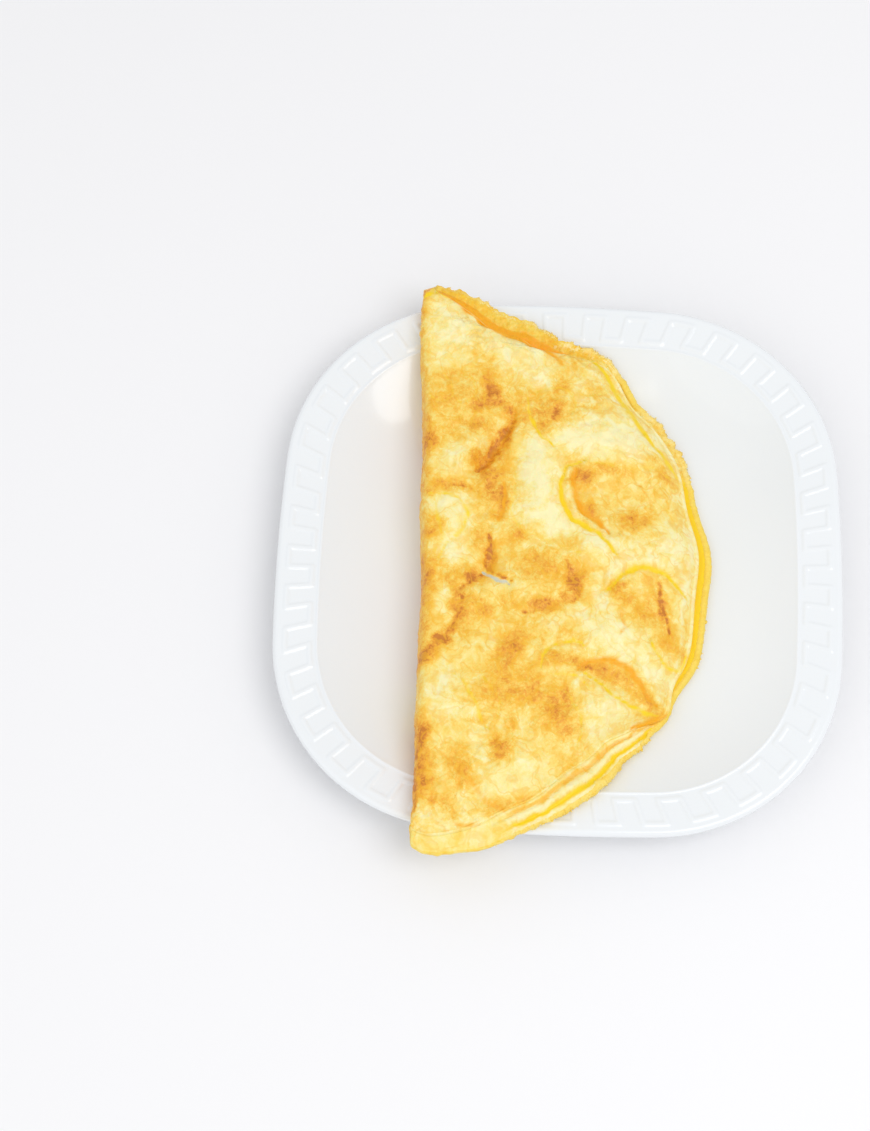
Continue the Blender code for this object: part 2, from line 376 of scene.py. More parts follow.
def makePlate():
    half = math.pi / plate["keys"]
    legs = np.arange(2 * plate["keys"])[:, None]
    turn = ((legs + np.array(plate["spokes"])) * half).reshape(1, -1)
    rings = plateRings()
    inset = rings[:, :1]
    radius = edgeDistance(turn, inset)
    points = np.empty((len(rings), turn.shape[1], 3))
    points[..., 0] = radius * np.cos(turn)
    points[..., 1] = radius * np.sin(turn)
    points[..., 2] = rings[:, 1:]
    topRings = np.arange(len(rings)) < np.argmin(rings[:, 0])
    points[topRings, :, 2] += keyRelief(radius, inset, turn)[topRings]
    for end in (0, -1):
        points[end, :, :2] = 0.0
    glaze = glazeFinish()
    piece = layGrid("whitePlate", points, {}, glaze.material)
    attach(piece, "root")
    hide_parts("plate")


def glazeFinish():
    glaze = Finish("whiteGlaze", Roughness=0.14, IOR=1.5, Coat_Weight=0.25, Coat_Roughness=0.05)
    place = glaze.place()
    cloud = glaze.noise(place, 0.060, 2.0)
    speck = glaze.noise(place, 0.0012, 1.0).between(0.74, 0.80)
    body = glaze.mix(cloud, *plate["whites"])
    glaze.link(glaze.mix(speck * plate["speckAmount"], body, plate["speck"]), "Base Color")
    glaze.link(plate["roughness"] + 0.06 * glaze.noise(place, 0.020, 3.0), "Roughness")
    glaze.bump(glaze.noise(place, 0.011, 2.0, 0.4), 0.05, 0.001)
    return glaze


# omelette

omelette = {
    # lengths in mm: the fold's middle, how the fold leans, the sheet's radius
    "middle": (-56.6, -1.0), "lean": -0.028, "radius": 118.5, "tipAngle": 88.4,
    "clear": 0.25, "clearRim": 0.40, "droop": 0.10, "flap": 3.8, "slit": 0.3, "groove": 1.8,
    "nose": 6.0, "noseFullness": 2.4, "fullFrom": 40.0,
    "topMiddle": 28.5, "topTips": 31.2, "tipReach": 120.0, "edgeRise": 10.0, "puffHeight": 1.3,
    # heights of the finer relief, and how far the rim strays
    "lumps": 0.65, "dimples": 0.5, "wrinkles": 0.45, "grain": 0.10, "brownedGrain": 0.35,
    "ledgeRough": 0.75, "sideDents": 0.55, "jag": 1.2,
    # stations along the fold, and columns across each strip of the sheet
    "stations": 352, "under": 16, "edge": 9, "ledge": 18, "roof": 5, "top": 176, "fold": 26,
    # from the palest egg to the brownest
    "tones": (
        (0.0, "faf1b8"), (0.16, "f9e898"), (0.34, "f9d970"), (0.52, "f6c54d"),
        (0.70, "f0ad38"), (0.86, "e2952e"), (1.0, "cc7e28"),
    ),
    "threadTone": "f5b824", "yolkTone": "fbd61a", "grooveTone": "f8b01a", "slitTone": "d8d6bf",
}
alongRim = 2.06  # mm along the rim for one degree
# how far the rim strays from a circle round the fold's middle: (degrees, spread, mm)
rimWaves = (
    (90, 6, 3.0), (67, 12, -6.0), (40, 5, -2.5), (12, 7, -1.4),
    (-20, 9, 2.4), (-43, 6, -2.0), (-74, 20, 7.2), (-92, 4, -4.0),
    (-86, 4, 1.6), (-68, 6, -2.0), (-50, 7, 1.3), (-40, 3, 1.4), (-32, 2.5, 1.2), (-26, 4, -1.5),
    (4, 7, 1.8), (24, 5, 0.7), (36, 8, 0.5), (50, 5, 1.3), (60, 4, -0.6), (68, 2.5, 1.6), (76, 3, -1.0),
)
# how far the upper flap stops short of the lower one
insetWaves = (
    (0, 400, 3.4), (73, 15, 7.6), (57, 5, 2.6), (36, 8, 1.0), (0, 22, 2.2), (-31, 5, -3.4),
    (-42, 7, 4.0), (-55, 10, 9.2), (-72, 8, 5.2), (-85, 8, 2.6),
)
# the fold's straying from its straight line, across it: (y, spread, mm)
foldWaves = ((-117, 9, -1.4), (-70, 6, -0.8), (-15, 14, 0.9), (20, 8, -0.5), (96, 24, -1.7))

# rises and hollows of the top: (x, y, half length, half width, turn, height)
puffs = (
    (-46, 98, 14, 11, 0, 1.3), (-18, 86, 20, 9, -30, 1.5), (-47, 63, 12, 9, 10, 1.2),
    (-9, 28, 20, 8, 88, 2.6), (18, 50, 22, 8, -10, 2.2), (24, 24, 17, 10, -10, -2.6),
    (-46, 12, 9, 7, 60, 1.8), (-29, 46, 14, 4, 62, -2.6), (18, 1, 16, 7, 8, 1.8), (-40, 42, 13, 5, 45, 1.4),
    (38, -22, 12, 9, 70, -2.0), (22, -35, 13, 7, -25, 1.8), (25, -55, 17, 5, -28, -2.2),
    (18, -69, 12, 8, 30, 1.9), (-29, -8, 10, 4, 60, -2.2),
    (-8, -14, 13, 10, 0, 1.3), (-34, -22, 6, 9, 10, 1.2),
    (-42, -64, 13, 10, 0, 1.8), (-18, -92, 15, 9, 10, 1.4),
    (48, 8, 8, 6, 90, 1.2), (-4, 62, 10, 7, 20, 1.2),
    (0, -46, 8, 5, 20, 1.0), (-50, -54, 5, 4, 0, -1.2),
    (-22, -48, 6, 12, 0, 1.0), (-48, -100, 6, 12, 0, 1.0),
)

# lines on the top, by the tone that they carry: (width, strength, depth, spots along it)
lines = {
    "yolk": (
        (1.3, 1.00, 1.1, (
            (9, 40), (3, 37), (0, 31), (0.5, 23), (3, 16), (9, 11), (15, 8), (20, 2), (24, -2),
        )),
        (1.0, 0.40, 0.4, ((9, 40), (18, 39), (28, 38), (38, 39), (45, 36))),
        (0.9, 0.75, 0.7, ((-15, 67), (-14, 59), (-10, 51), (-6, 47), (-3, 44))),
        (0.9, 0.45, 0.4, ((-13, 68), (-6, 71), (0, 71), (5, 66), (3, 60))),
        (0.9, 0.45, 0.3, ((0, 72), (6, 78), (14, 79), (18, 75), (12, 70), (6, 70))),
        (1.2, 0.60, 0.6, ((-54, 22), (-47, 23), (-41, 20), (-38, 13), (-41, 5), (-46, 1), (-49, -6))),
        (1.0, 0.45, 0.4, ((-51, 20), (-50, 12), (-48, 4), (-51, -4))),
        (1.0, 0.40, 0.3, ((-19, 36), (-19, 26), (-20, 16), (-15, 8), (-8, 5), (2, 1), (10, -2), (18, -3))),
        (1.2, 1.00, 1.2, ((19, -16), (24, -11), (29, -7), (35, -5), (42, -7), (48, -11), (52, -15))),
        (1.0, 0.75, 0.7, ((37, -35), (40, -41), (45, -45), (50, -44), (53, -38))),
        (1.1, 0.85, 0.8, ((11, -51), (18, -56), (24, -61), (31, -64), (41, -65))),
        (1.0, 0.75, 0.6, ((-7, -51), (-5, -44), (0, -40), (7, -38), (12, -41))),
        (0.9, 0.60, 0.5, ((-3, -53), (3, -52), (9, -53), (13, -58))),
        (0.9, 0.50, 0.5, ((4, -60), (8, -66), (11, -73), (9, -81))),
        (1.1, 0.60, 0.6, ((-41, -53), (-36, -58), (-32, -65), (-29, -72), (-26, -77))),
        (0.9, 0.40, 0.4, ((-33, -50), (-27, -57), (-22, -64), (-22, -71))),
        (1.8, 0.95, 0.4, ((12, 88), (17, 83), (21, 77), (25, 70), (30, 62), (36, 53), (43, 45), (48, 39))),
        (1.7, 0.95, 0.2, ((-60, 112), (-57, 114), (-52, 114.5), (-48, 112.5))),
        (3.2, 0.50, 0.0, ((-58, -120), (-45, -121), (-32, -121.5), (-22, -120), (-12, -115))),
        (0.8, 0.35, 0.3, ((36, 33), (44, 30), (50, 24), (53, 15))),
        (0.8, 0.35, 0.3, ((33, 30), (41, 25), (46, 17), (47, 8), (42, 2), (34, -1))),
        (0.8, 0.35, 0.3, ((30, 27), (37, 22), (42, 14), (38, 6), (28, 3))),
        (0.8, 0.30, 0.3, ((15, -28), (20, -37), (29, -43), (38, -52), (43, -57))),
        (0.8, 0.30, 0.3, ((-46, 104), (-40, 97), (-34, 92), (-30, 86))),
        (0.8, 0.35, 0.3, ((-57, 86), (-50, 83), (-44, 79), (-38, 81), (-36, 88))),
        (0.8, 0.40, 0.3, ((-56, 78), (-50, 76), (-46, 70), (-49, 64), (-55, 66), (-56, 72))),
        (0.8, 0.40, 0.3, ((-44, 76), (-38, 74), (-37, 67), (-42, 63), (-46, 67))),
    ),
    "groove": (
        (1.7, 0.85, 1.2, ((6, 37), (5, 30), (7, 22), (11, 16), (16, 13), (20, 8))),
        (2.6, 0.45, 1.6, ((-20, 60), (-23, 52), (-26, 46), (-30, 40), (-35, 34))),
        (1.1, 0.85, 0.6, ((-23, 29), (-23, 21), (-25, 12))),
        (1.5, 0.95, 1.3, ((8, -50), (12, -47), (17, -45), (24, -46), (30, -50), (35, -56), (41, -62))),
        (1.8, 0.95, 1.2, ((31, -70), (36, -68), (41, -66), (45, -64))),
        (1.2, 0.55, 0.7, ((25, -14), (26, -20), (25, -26), (27, -31), (25, -35))),
        (1.6, 0.60, 0.6, ((-34, -94), (-29, -101), (-23, -107), (-15, -109))),
        (1.2, 0.60, 0.7, ((-37, -114.5), (-29, -115), (-22, -113.5), (-14, -109.5))),
        (1.8, 0.90, 0.6, ((-16, 92), (-10, 89.5), (-5, 87), (-1, 83.5))),
        (1.0, 0.55, 0.5, ((-46, -85), (-40, -90), (-36, -97), (-38, -104))),
        (1.0, 0.60, 0.5, ((-4, -99), (2, -96), (8, -92), (13, -88))),
        (0.9, 0.55, 0.4, ((24, 8), (30, 13), (36, 18), (36, 26), (30, 33))),
    ),
    "browned": (
        (2.0, 1.40, 1.0, ((-29, 6), (-28, 0), (-29, -5), (-27, -9))),
        # this wide crease stroke is partly real browning, partly painted shade in the crease
        (5.0, 1.15, 1.3, ((-21, 56), (-25, 49), (-28, 43), (-31, 38), (-34, 35))),
        (2.6, 0.95, 0.3, ((-30, 72), (-31, 66), (-34, 62))),
        (2.6, 1.10, 0.4, ((3, -5), (6, -11), (8, -17))),
        (1.5, 0.95, 0.8, ((-40, -19), (-36, -16), (-33, -12), (-30, -11))),
        (1.7, 1.15, 0.6, ((41, -11), (41, -18), (43, -24), (45, -31))),
        (1.6, 0.85, 0.8, ((-15, -28), (-8, -26), (0, -23), (7, -20), (9, -14))),
        (1.7, 0.95, 0.5, ((10, -50), (14, -48.5), (20, -48.5))),
        (1.6, 0.80, 0.6, ((-56, 26), (-48, 26), (-40, 27), (-34, 24))),
        (2.8, 0.95, 0.5, ((-56, -50), (-50, -43), (-44, -38), (-40, -30), (-38, -22))),
        (1.2, 0.75, 0.5, ((19, -16), (22, -14), (26, -13))),
        (0.8, 1.30, 0.6, ((-29, -8.6), (-25, -11.0), (-21.5, -13.2), (-18, -14.6))),
        (2.4, 0.95, 0.4, ((-54, -112), (-53, -102), (-54, -92), (-53, -82), (-55, -74))),
        (1.8, 0.80, 0.3, ((-56, 58), (-55, 50), (-57, 40), (-55, 30))),
        (2.0, 0.80, 0.1, ((-60, 103), (-61, 109), (-60, 115), (-55, 117.5))),
    ),
    "pale": (
        (1.5, 0.9, -0.8, ((4, 36), (3, 29), (5, 20), (9, 14.5), (14, 11))),
        # a painted highlight along the upper flap's edge on the right
        (1.5, 0.8, -0.7, ((53, 26), (54.5, 14), (53.5, 2), (51.5, -12), (50, -25), (50, -36), (47, -46))),
        # a painted highlight along the upper flap's rim at the bottom right
        (1.4, 0.8, -0.6, ((8, -92), (15, -84), (22, -77), (29, -71), (34, -69))),
        (1.1, 0.8, -0.4, ((6, -60), (8, -55), (11, -51.5))),
        (1.0, 0.7, -0.3, ((-6, -60), (-4, -55), (-1, -52))),
        (1.4, 0.8, -0.3, ((2, 87), (8, 83), (14, 80), (18, 74), (23, 69))),
        (1.2, 0.9, -0.5, ((37, 48), (41, 45), (43, 42))),
        (1.4, 0.7, -0.6, ((14, -46), (22, -42.5), (30, -46), (37, -53), (42, -59))),
        (1.6, 0.6, -0.5, ((18, -19), (22, -7), (29, -3), (38, -2), (46, -6))),
        (1.2, 0.6, -0.4, ((-42, 52), (-34, 46), (-38, 38), (-46, 33))),
    ),
    "slit": (
        (1.0, 1.0, 1.5, ((-31, -9.6), (-28, -11.6), (-24, -14.0), (-19.5, -15.4))),
    ),
}

# browned patches: (x, y, half length, half width, turn, strength)
browned = (
    (-36, 86, 3, 5, 20, .45), (-32, 76, 5, 8, 15, .55), (-30, 69, 4, 5, 0, .85), (-50, 76, 9, 3, 10, .40),
    (-47, 65, 15, 9, 5, .46), (-31, 64, 8, 4, 10, .95), (-22, 60, 5, 4, 20, .80), (-38, 53, 13, 4, 10, .60),
    (-2, 73, 4, 7, -10, .60), (-6, 61, 9, 6, 20, .72), (-3, 59, 4, 3, 0, .95), (-9, 54, 5, 4, -40, .75),
    (8, 62, 8, 2.5, 20, .45), (14, 73, 9, 3, 25, .40), (3, 84, 7, 4, 0, .40), (-16, 57, 4, 7, 0, .60),
    (-55, 45, 5, 8, -20, .80), (-57, 34, 3, 7, 0, .65), (-46, 27, 11, 3, -4, .65), (-54, 23, 4, 4, 0, .60),
    (-28, 28, 8, 12, 10, .68), (-24, 22, 3, 8, 5, .90), (-26, 14, 5, 3, 30, .80), (-34, 40, 4, 6, -30, .85),
    (-52, 8, 6, 4, 10, .75), (-31, 5, 6, 8, 0, .45), (-17, 5, 6, 5, 0, .60), (-18, 66, 8, 5, 0, .50),
    (8, 32, 5, 6, 0, .78), (20, 36, 11, 3, -5, .60), (12, 18, 5, 4, -30, .70), (28, 15, 5, 5, 0, .66),
    (35, 17, 3, 7, -25, .55), (22, 26, 13, 9, 0, .18), (36, 28, 8, 5, 20, .26), (43, 37, 5, 3, 0, .55),
    (32, 8, 10, 4, 10, .28), (46, 24, 5, 7, 10, .16), (40, 42, 4, 4, 0, .45),
    (-53, -13, 5, 8, 0, .75), (-54, -33, 4, 12, 0, .65),
    (-52, -47, 4, 6, -20, 1.05), (-46, -12, 9, 5, 0, .65),
    (-34, -13, 4, 3, 40, .90), (-39, -27, 4, 9, 10, .78),
    (-46, -40, 4, 3, 20, 1.1), (-32, -27, 8, 6, 0, .58),
    (-28, -4, 3, 6, 10, .85), (-6, -7, 15, 9, 10, .53), (6, -12, 4, 7, 0, 1.0), (-6, -24, 10, 3, 10, .80),
    (4, -20, 6, 3, 20, .75), (-20, -24, 6, 5, 0, .50), (-18, -44, 13, 5, 60, .76), (2, -46, 9, 3, 5, .66),
    (5, -37, 6, 3, 0, .50), (26, -19, 5, 5, 0, .66), (24, -14, 6, 2.5, 35, .75), (42, -22, 3, 8, 8, .90),
    (36, -24, 7, 6, 0, .60), (44, -35, 5, 5, 0, .62), (49, -38, 4, 3, 0, .55), (36, -12, 9, 4, 0, .40),
    (24, -52, 15, 5, -28, .66), (14, -48, 5, 2, 20, .95),
    (36, -60, 7, 4, -35, .72), (40, -65, 6, 2, 10, .66),
    (-16, -59, 17, 8, 0, .62), (1, -66, 9, 9, 0, .74), (6, -76, 6, 5, 0, .66), (-26, -60, 6, 6, 0, .60),
    (-21, -84, 5, 5, 0, .80), (-17, -73, 3, 6, 0, .60), (-2, -75, 3, 7, 0, .50), (-33, -74, 8, 4, 0, .30),
    (-52, -81, 3, 6, 0, 1.05), (-51, -96, 5, 12, 0, .82),
    (-47, -106, 4, 4, 0, .62), (-36, -93, 5, 8, 10, .72),
    (-40, -109, 6, 3, -50, .55), (-18, -107, 16, 3, 12, .45),
    (-8, -60, 8, 7, 0, .60), (-54, -65, 2.5, 6, 0, .50),
    (-60, 112, 2.5, 5, 0, .60), (-12, 12, 10, 5, 0, .20), (-24, 74, 6, 5, 0, .30),
    (8, -88, 7, 3, 40, .40), (-8, -38, 6, 5, 0, .35),
)
# stretches of the fold that are browner: (from y, to y, by how much)
foldStretches = ((-50, -3, 0.25), (22, 62, 0.2), (-110, -72, 0.15))
# palest puffs, given as the browned patches are
pale = (
    (-50, 96, 10, 13, 0, .75), (-19, 86, 21, 8, -30, .60),
    (-42, 41, 13, 5, 30, .60), (-42, 13, 4, 9, 0, .95),
    (-48, 18, 6, 3, 10, .60), (-10, 30, 8, 22, 0, 1.0), (-4, 13, 12, 6, -20, .95), (16, 50, 23, 7, 5, .95),
    (30, 54, 10, 5, -30, .70), (22, 4, 13, 4, 8, .85), (46, 4, 6, 7, 0, .75), (22, -36, 13, 7, -25, .80),
    (36, -47, 9, 4, -35, .80), (17, -68, 11, 8, 30, .78), (-44, -3, 4, 7, 0, .85), (-44, -59, 9, 6, 0, .70),
    (-41, -68, 8, 4, 0, .55), (-30, -85, 4, 6, 0, .65),
    (-18, -95, 15, 5, 10, .50), (-47, -113, 8, 4, 0, .65),
    (-31, -111, 7, 2.5, 5, .70), (-46, -22, 2.5, 7, 10, .45),
    (32, -14, 3, 6, 0, .35), (27, -77, 9, 3, 38, .60),
    (50, -13, 3, 6, 0, .50), (-14, 74, 6, 4, -30, .35), (17, -20, 3, 7, 0, .55), (-14, -35, 3, 5, -30, .35),
)


def onRow(row, distance):
    # spots on each station's straight row, that far from its fold
    share = distance / row["length"]
    return (
        row["foldX"] + (row["rimX"] - row["foldX"]) * share,
        row["foldY"] + (row["rimY"] - row["foldY"]) * share,
    )


def makeRow(angle, inset):
    # one straight row of the sheet for each station, from the fold to the rim
    o = omelette
    turn = np.radians(angle)
    tip = o["radius"] + bells(np.sign(angle) * 90.0, rimWaves) - inset
    reach = o["radius"] + bells(angle, rimWaves) - inset
    foldY = tip * np.sin(turn)
    row = {
        "foldX": o["middle"][0] + o["lean"] * foldY + bells(foldY, foldWaves),
        "foldY": o["middle"][1] + foldY,
        "rimX": o["middle"][0] + reach * np.cos(turn),
        "rimY": o["middle"][1] + reach * np.sin(turn),
    }
    row = {key: value[:, None] for key, value in row.items()}
    row["length"] = np.hypot(row["rimX"] - row["foldX"], row["rimY"] - row["foldY"])
    return row


def restHeight(x, y):
    # the underside, just clear of the plate
    inset = insetAt(x, y)
    clear = omelette["clear"] + omelette["clearRim"] * (1 - smooth(inset, 15, 24))
    over = rimTop + clear + omelette["droop"] * np.minimum(inset, 0)
    return np.where(inset < 0, over, plateTop(np.maximum(inset, 0)) + clear)


def topHeight(row, distance):
    o = omelette
    flapEnd = row["length"] - o["flap"] / 2
    edge = restHeight(*onRow(row, flapEnd)) + 2 * o["flap"] + o["slit"]
    x, y = onRow(row, distance)
    crown = o["topMiddle"] + (o["topTips"] - o["topMiddle"]) * (y / o["tipReach"]) ** 2
    rise = 1 - np.exp(-np.maximum(flapEnd - distance, 0) / o["edgeRise"])
    fade = 1 - np.exp(-distance / 8.0)
    return edge + (crown + o["puffHeight"] * hills(x, y, puffs) * fade - edge) * rise


def stack(x, y, z):
    return np.stack(np.broadcast_arrays(x, y, z), axis=-1)


def roundEdge(row, bottom, turns):
    radius = omelette["flap"] / 2
    x, y = onRow(row, row["length"] - radius + radius * np.cos(turns))
    return stack(x, y, restHeight(x, y) + bottom + radius * (1 + np.sin(turns)))


def stationAngles():
    # closer together where the edge is ragged and towards the tips
    o = omelette
    fine = np.linspace(-o["tipAngle"], o["tipAngle"], 4000)
    weight = 1.0 + 1.0 * zone(fine, 50, 95) + 0.5 * zone(fine, 18, 40) + 0.5 * zone(fine, -95, -80)
    travelled = np.concatenate([[0], np.cumsum((weight[1:] + weight[:-1]) / 2)])
    return np.interp(np.linspace(0, travelled[-1], o["stations"]), travelled, fine)


def zone(value, low, high, soft=3.0):
    return smooth(value, low - soft, low + soft) * (1 - smooth(value, high - soft, high + soft))


def crispness(angle):
    # 1 where the thin rim has fried crisp
    return np.clip(zone(angle, 47, 96) + 0.75 * zone(angle, 20, 38) + 0.35 * zone(angle, -75, -36), 0, 1)


def rimJag(angle):
    ragged = 0.30 + 0.9 * crispness(angle)
    return ragged * omelette["jag"] * noiseField(angle * alongRim, angle * 0, 3.0, 3, 3.3)


def rimPlace(x, y):
    # the bearing of each spot from the fold's middle, and how far in from the lower rim it is
    awayX, awayY = x - omelette["middle"][0], y - omelette["middle"][1]
    bearing = np.degrees(np.arctan2(awayY, awayX))
    away = np.hypot(awayX, awayY) + 1e-6
    order = np.linspace(-110, 110, 2201)
    rim = np.interp(bearing, order, omelette["radius"] + bells(order, rimWaves))
    return bearing, away, rim - away


def ledgeShare(x, y):
    # 0 at the lower flap's rim, 1 below the upper flap's edge
    bearing, _, inset = rimPlace(x, y)
    return bearing, inset / bells(bearing, insetWaves)


def makeOmelette():
    o = omelette
    angle = stationAngles()
    inset = bells(angle, insetWaves)
    lower = makeRow(angle, 0.0)
    upper = makeRow(angle, inset)
    size = np.minimum(1.0, lower["length"] / o["fullFrom"])
    radius = o["flap"] / 2
    nose = o["nose"] * size
    grooveEnd = upper["length"] - radius - o["groove"] * size
    roofHeight = o["flap"] + o["slit"]
    arcs = np.radians(np.linspace(-90, 90, o["edge"] + 2))[1:-1][None, :]

    def run(start, end, count):
        return start + (end - start) * np.linspace(0, 1, count)[None, :]

    strips = {}
    x, y = onRow(lower, run(nose, lower["length"] - radius, o["under"]))
    strips["under"] = stack(x, y, restHeight(x, y))
    strips["lowerEdge"] = roundEdge(lower, 0.0, arcs)
    startX, startY = onRow(lower, lower["length"] - radius)
    endX, endY = onRow(upper, grooveEnd)
    x, y = run(startX, endX, o["ledge"]), run(startY, endY, o["ledge"])
    bearing, share = ledgeShare(x, y)
    # soft ridges run along the wide part of the ledge
    ridge = zone(bearing, -74, -36) * (
        1.3 * smooth(share, 0.10, 0.24) - 0.7 * zone(share, 0.32, 0.44, 0.05)
        + 1.5 * smooth(share, 0.44, 0.60) - 0.6 * zone(share, 0.74, 0.84, 0.04)
        + 0.9 * smooth(share, 0.82, 0.98)
    )
    ridge = ridge + zone(bearing, 48, 96) * (1.0 * smooth(share, 0.05, 0.35) + 1.7 * smooth(share, 0.60, 1.0))
    ridge = ridge + zone(bearing, -96, -74) * (1.2 * smooth(share, 0.05, 0.5) + 1.4 * smooth(share, 0.5, 1.0))
    ridge = ridge * (1 - smooth(share, 1.04, 1.2))
    strips["ledge"] = stack(x, y, restHeight(x, y) + o["flap"] + ridge)
    x, y = onRow(upper, grooveEnd - radius * size)
    strips["groove"] = stack(x, y, restHeight(x, y) + o["flap"] + o["slit"] / 2)
    x, y = onRow(upper, run(grooveEnd, upper["length"] - radius, o["roof"]))
    strips["roof"] = stack(x, y, restHeight(x, y) + roofHeight)
    strips["upperEdge"] = roundEdge(upper, roofHeight, arcs)
    topRun = run(upper["length"] - radius, nose, o["top"])
    x, y = onRow(upper, topRun)
    strips["top"] = stack(x, y, topHeight(upper, topRun))
    low = strips["under"][:, :1]
    high = strips["top"][:, -1:]
    turns = np.radians(np.linspace(90, -90, o["fold"] + 2))[1:-1][None, :, None]
    power = 2.0 / o["noseFullness"]
    share = 0.5 - 0.5 * np.sign(np.sin(turns)) * np.abs(np.sin(turns)) ** power
    fold = high + (low - high) * share
    fold[..., 0] -= nose * np.cos(turns[..., 0]) ** power
    strips["fold"] = fold

    # columns of each strip, to paint them apart
    columns, start = {}, 0
    for key, strip in strips.items():
        columns[key] = slice(start, start + strip.shape[1])
        start += strip.shape[1]
    points = np.concatenate(list(strips.values()), axis=1)
    layers = paintOmelette(points, columns, angle)
    reliefOmelette(points, columns, angle, layers)
    for end, outward in ((0, -1.0), (-1, 1.0)):
        # each tip closes in a few steps on a spot in the end of the lower flap
        last = points[end]
        middle = last[:columns["lowerEdge"].stop].mean(axis=0) + np.array([0.0, 0.4 * outward, 1.0])
        steps = [
            middle + (last - middle) * share + [0, outward * 0.4 * (1 - share), 0]
            for share in (0.0, 0.4, 0.75)
        ]
        steps = np.array(steps if end == 0 else steps[::-1])
        points = np.concatenate([steps, points] if end == 0 else [points, steps])
        layers = {
            key: np.concatenate([value[:1]] * 3 + [value] if end == 0 else [value] + [value[-1:]] * 3)
            for key, value in layers.items()
        }
    egg = eggFinish()
    piece = layGrid("foldedOmelette", points, layers, egg.material)
    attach(piece, "root")
    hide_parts("omelette")


def paintOmelette(points, columns, angle):
    # how strongly each tone shows at each vertex, and how deep the lines there are
    flatX, flatY = points[..., 0], points[..., 1]
    x = flatX + 2.0 * noiseField(flatX, flatY, 8.0, 3, 5.1)
    y = flatY + 2.0 * noiseField(flatX, flatY, 8.0, 3, 8.4)
    lineX = flatX + 0.9 * noiseField(flatX, flatY, 5.0, 2, 15.1)
    lineY = flatY + 0.9 * noiseField(flatX, flatY, 5.0, 2, 18.4)
    layers = {
        "browned": patches(x, y, browned), "pale": patches(x, y, pale),
        "yolk": np.zeros(x.shape), "groove": np.zeros(x.shape), "slit": np.zeros(x.shape),
        "depth": np.zeros(x.shape),
    }
    upside = np.zeros(x.shape)
    upside[:, columns["upperEdge"].start:] = 1.0
    ragged = 0.85 + 0.4 * noiseField(flatX, flatY, 3.0, 2, 31.0)
    for key, routes in lines.items():
        for width, strength, depth, route in routes:
            close = nearness(lineX, lineY, route, width) * upside
            layers[key] = np.maximum(layers[key], close * strength * np.clip(ragged, 0, 1.15))
            layers["depth"] += depth * close
    # the fold's side is painted browner: partly real browning, partly painted shade on its curved side; more
    # so on a few stretches of it
    foldSideBrownAndShade = np.exp(-((flatX - flatX[:, columns["fold"]].min(axis=1, keepdims=True)) / 4.5) ** 2)
    stretches = sum(more * zone(flatY, low, high, 6) for low, high, more in foldStretches)
    # this band is partly real browning and partly painted shade down the fold's side
    layers["browned"] = np.maximum(layers["browned"], foldSideBrownAndShade * (0.42 + stretches))

    # the rim's tones go by where along it they are
    fried = crispness(angle)[:, None]
    right = zone(angle, -33, 20)[:, None]
    bottom = zone(angle, -95, -70)[:, None]
    band = zone(angle, 58, 90)[:, None]
    ledge = columns["ledge"]
    bearing, share = ledgeShare(lineX[:, ledge], lineY[:, ledge])
    crispHere, rightHere = zone(bearing, 46, 96) + 0.8 * zone(bearing, 20, 38), zone(bearing, -33, 20)
    lowHere, bottomHere, bandHere = zone(bearing, -70, -33), zone(bearing, -95, -70), zone(bearing, 58, 90)
    layers["browned"][:, ledge] = (
        0.05 + 0.28 * crispHere * (1 - smooth(share, 0.5, 0.8))
        + 0.45 * lowHere * (1 - smooth(share, 0.03, 0.10))
    )
    # on the right the ledge's yolk yellow is partly the egg's colour, partly painted shade in the recess
    # under the upper flap
    layers["yolk"][:, ledge] = (
        rightHere * (0.60 + 0.40 * smooth(share, 0.1, 0.35)) + 0.34 * crispHere + 0.32 * bottomHere
        + lowHere * (0.20 + 0.65 * zone(share, 0.28, 0.44, 0.06))
    )
    layers["groove"][:, ledge] = (
        0.90 * smooth(share, 0.52, 0.76) * bandHere + 0.50 * zone(share, 0.74, 0.92, 0.05) * lowHere
    )
    layers["pale"][:, ledge] = 0.4 * bottomHere + lowHere * (
        0.9 * zone(share, 0.50, 0.72, 0.05) + 0.7 * zone(share, 0.10, 0.28, 0.05)
        + 0.5 * smooth(share, 0.88, 0.98)
    )
    # under the upper flap's edge the groove and roof strips are painted orange and yolk yellow: partly the
    # egg's colour, partly painted shade in that recess
    for key in ("groove", "roof"):
        layers["groove"][:, columns[key]] = 0.2 + 0.3 * fried
        layers["yolk"][:, columns[key]] = 0.5 + 0.4 * right
        layers["pale"][:, columns[key]] = 0.0
    edge = columns["lowerEdge"]
    layers["browned"][:, edge] = 0.10 + 0.25 * fried
    layers["yolk"][:, edge] = 0.30 + 0.5 * right + 0.1 * bottom
    layers["pale"][:, edge] = 0.1
    edge = columns["upperEdge"]
    # round the upper flap's edge the colour runs from yolk low down, partly painted shade, to pale towards
    # its top, a painted highlight
    rising = np.linspace(0, 1, edge.stop - edge.start)[None, :]
    layers["yolk"][:, edge] = np.maximum(layers["yolk"][:, edge], (0.4 + 0.5 * right) * (1 - rising))
    layers["groove"][:, edge] = np.maximum(layers["groove"][:, edge], 0.9 * band * (1 - 0.4 * rising))
    layers["pale"][:, edge] = np.maximum(layers["pale"][:, edge], 0.6 * rising)
    top = columns["top"]
    bearing, _, inward = rimPlace(lineX[:, top], lineY[:, top])
    past = inward - bells(bearing, insetWaves)
    near = zone(bearing, 59, 84, 4) * (1 - smooth(past, 1.2, 3.0))
    layers["groove"][:, top] = np.maximum(layers["groove"][:, top], 0.8 * near)
    return layers


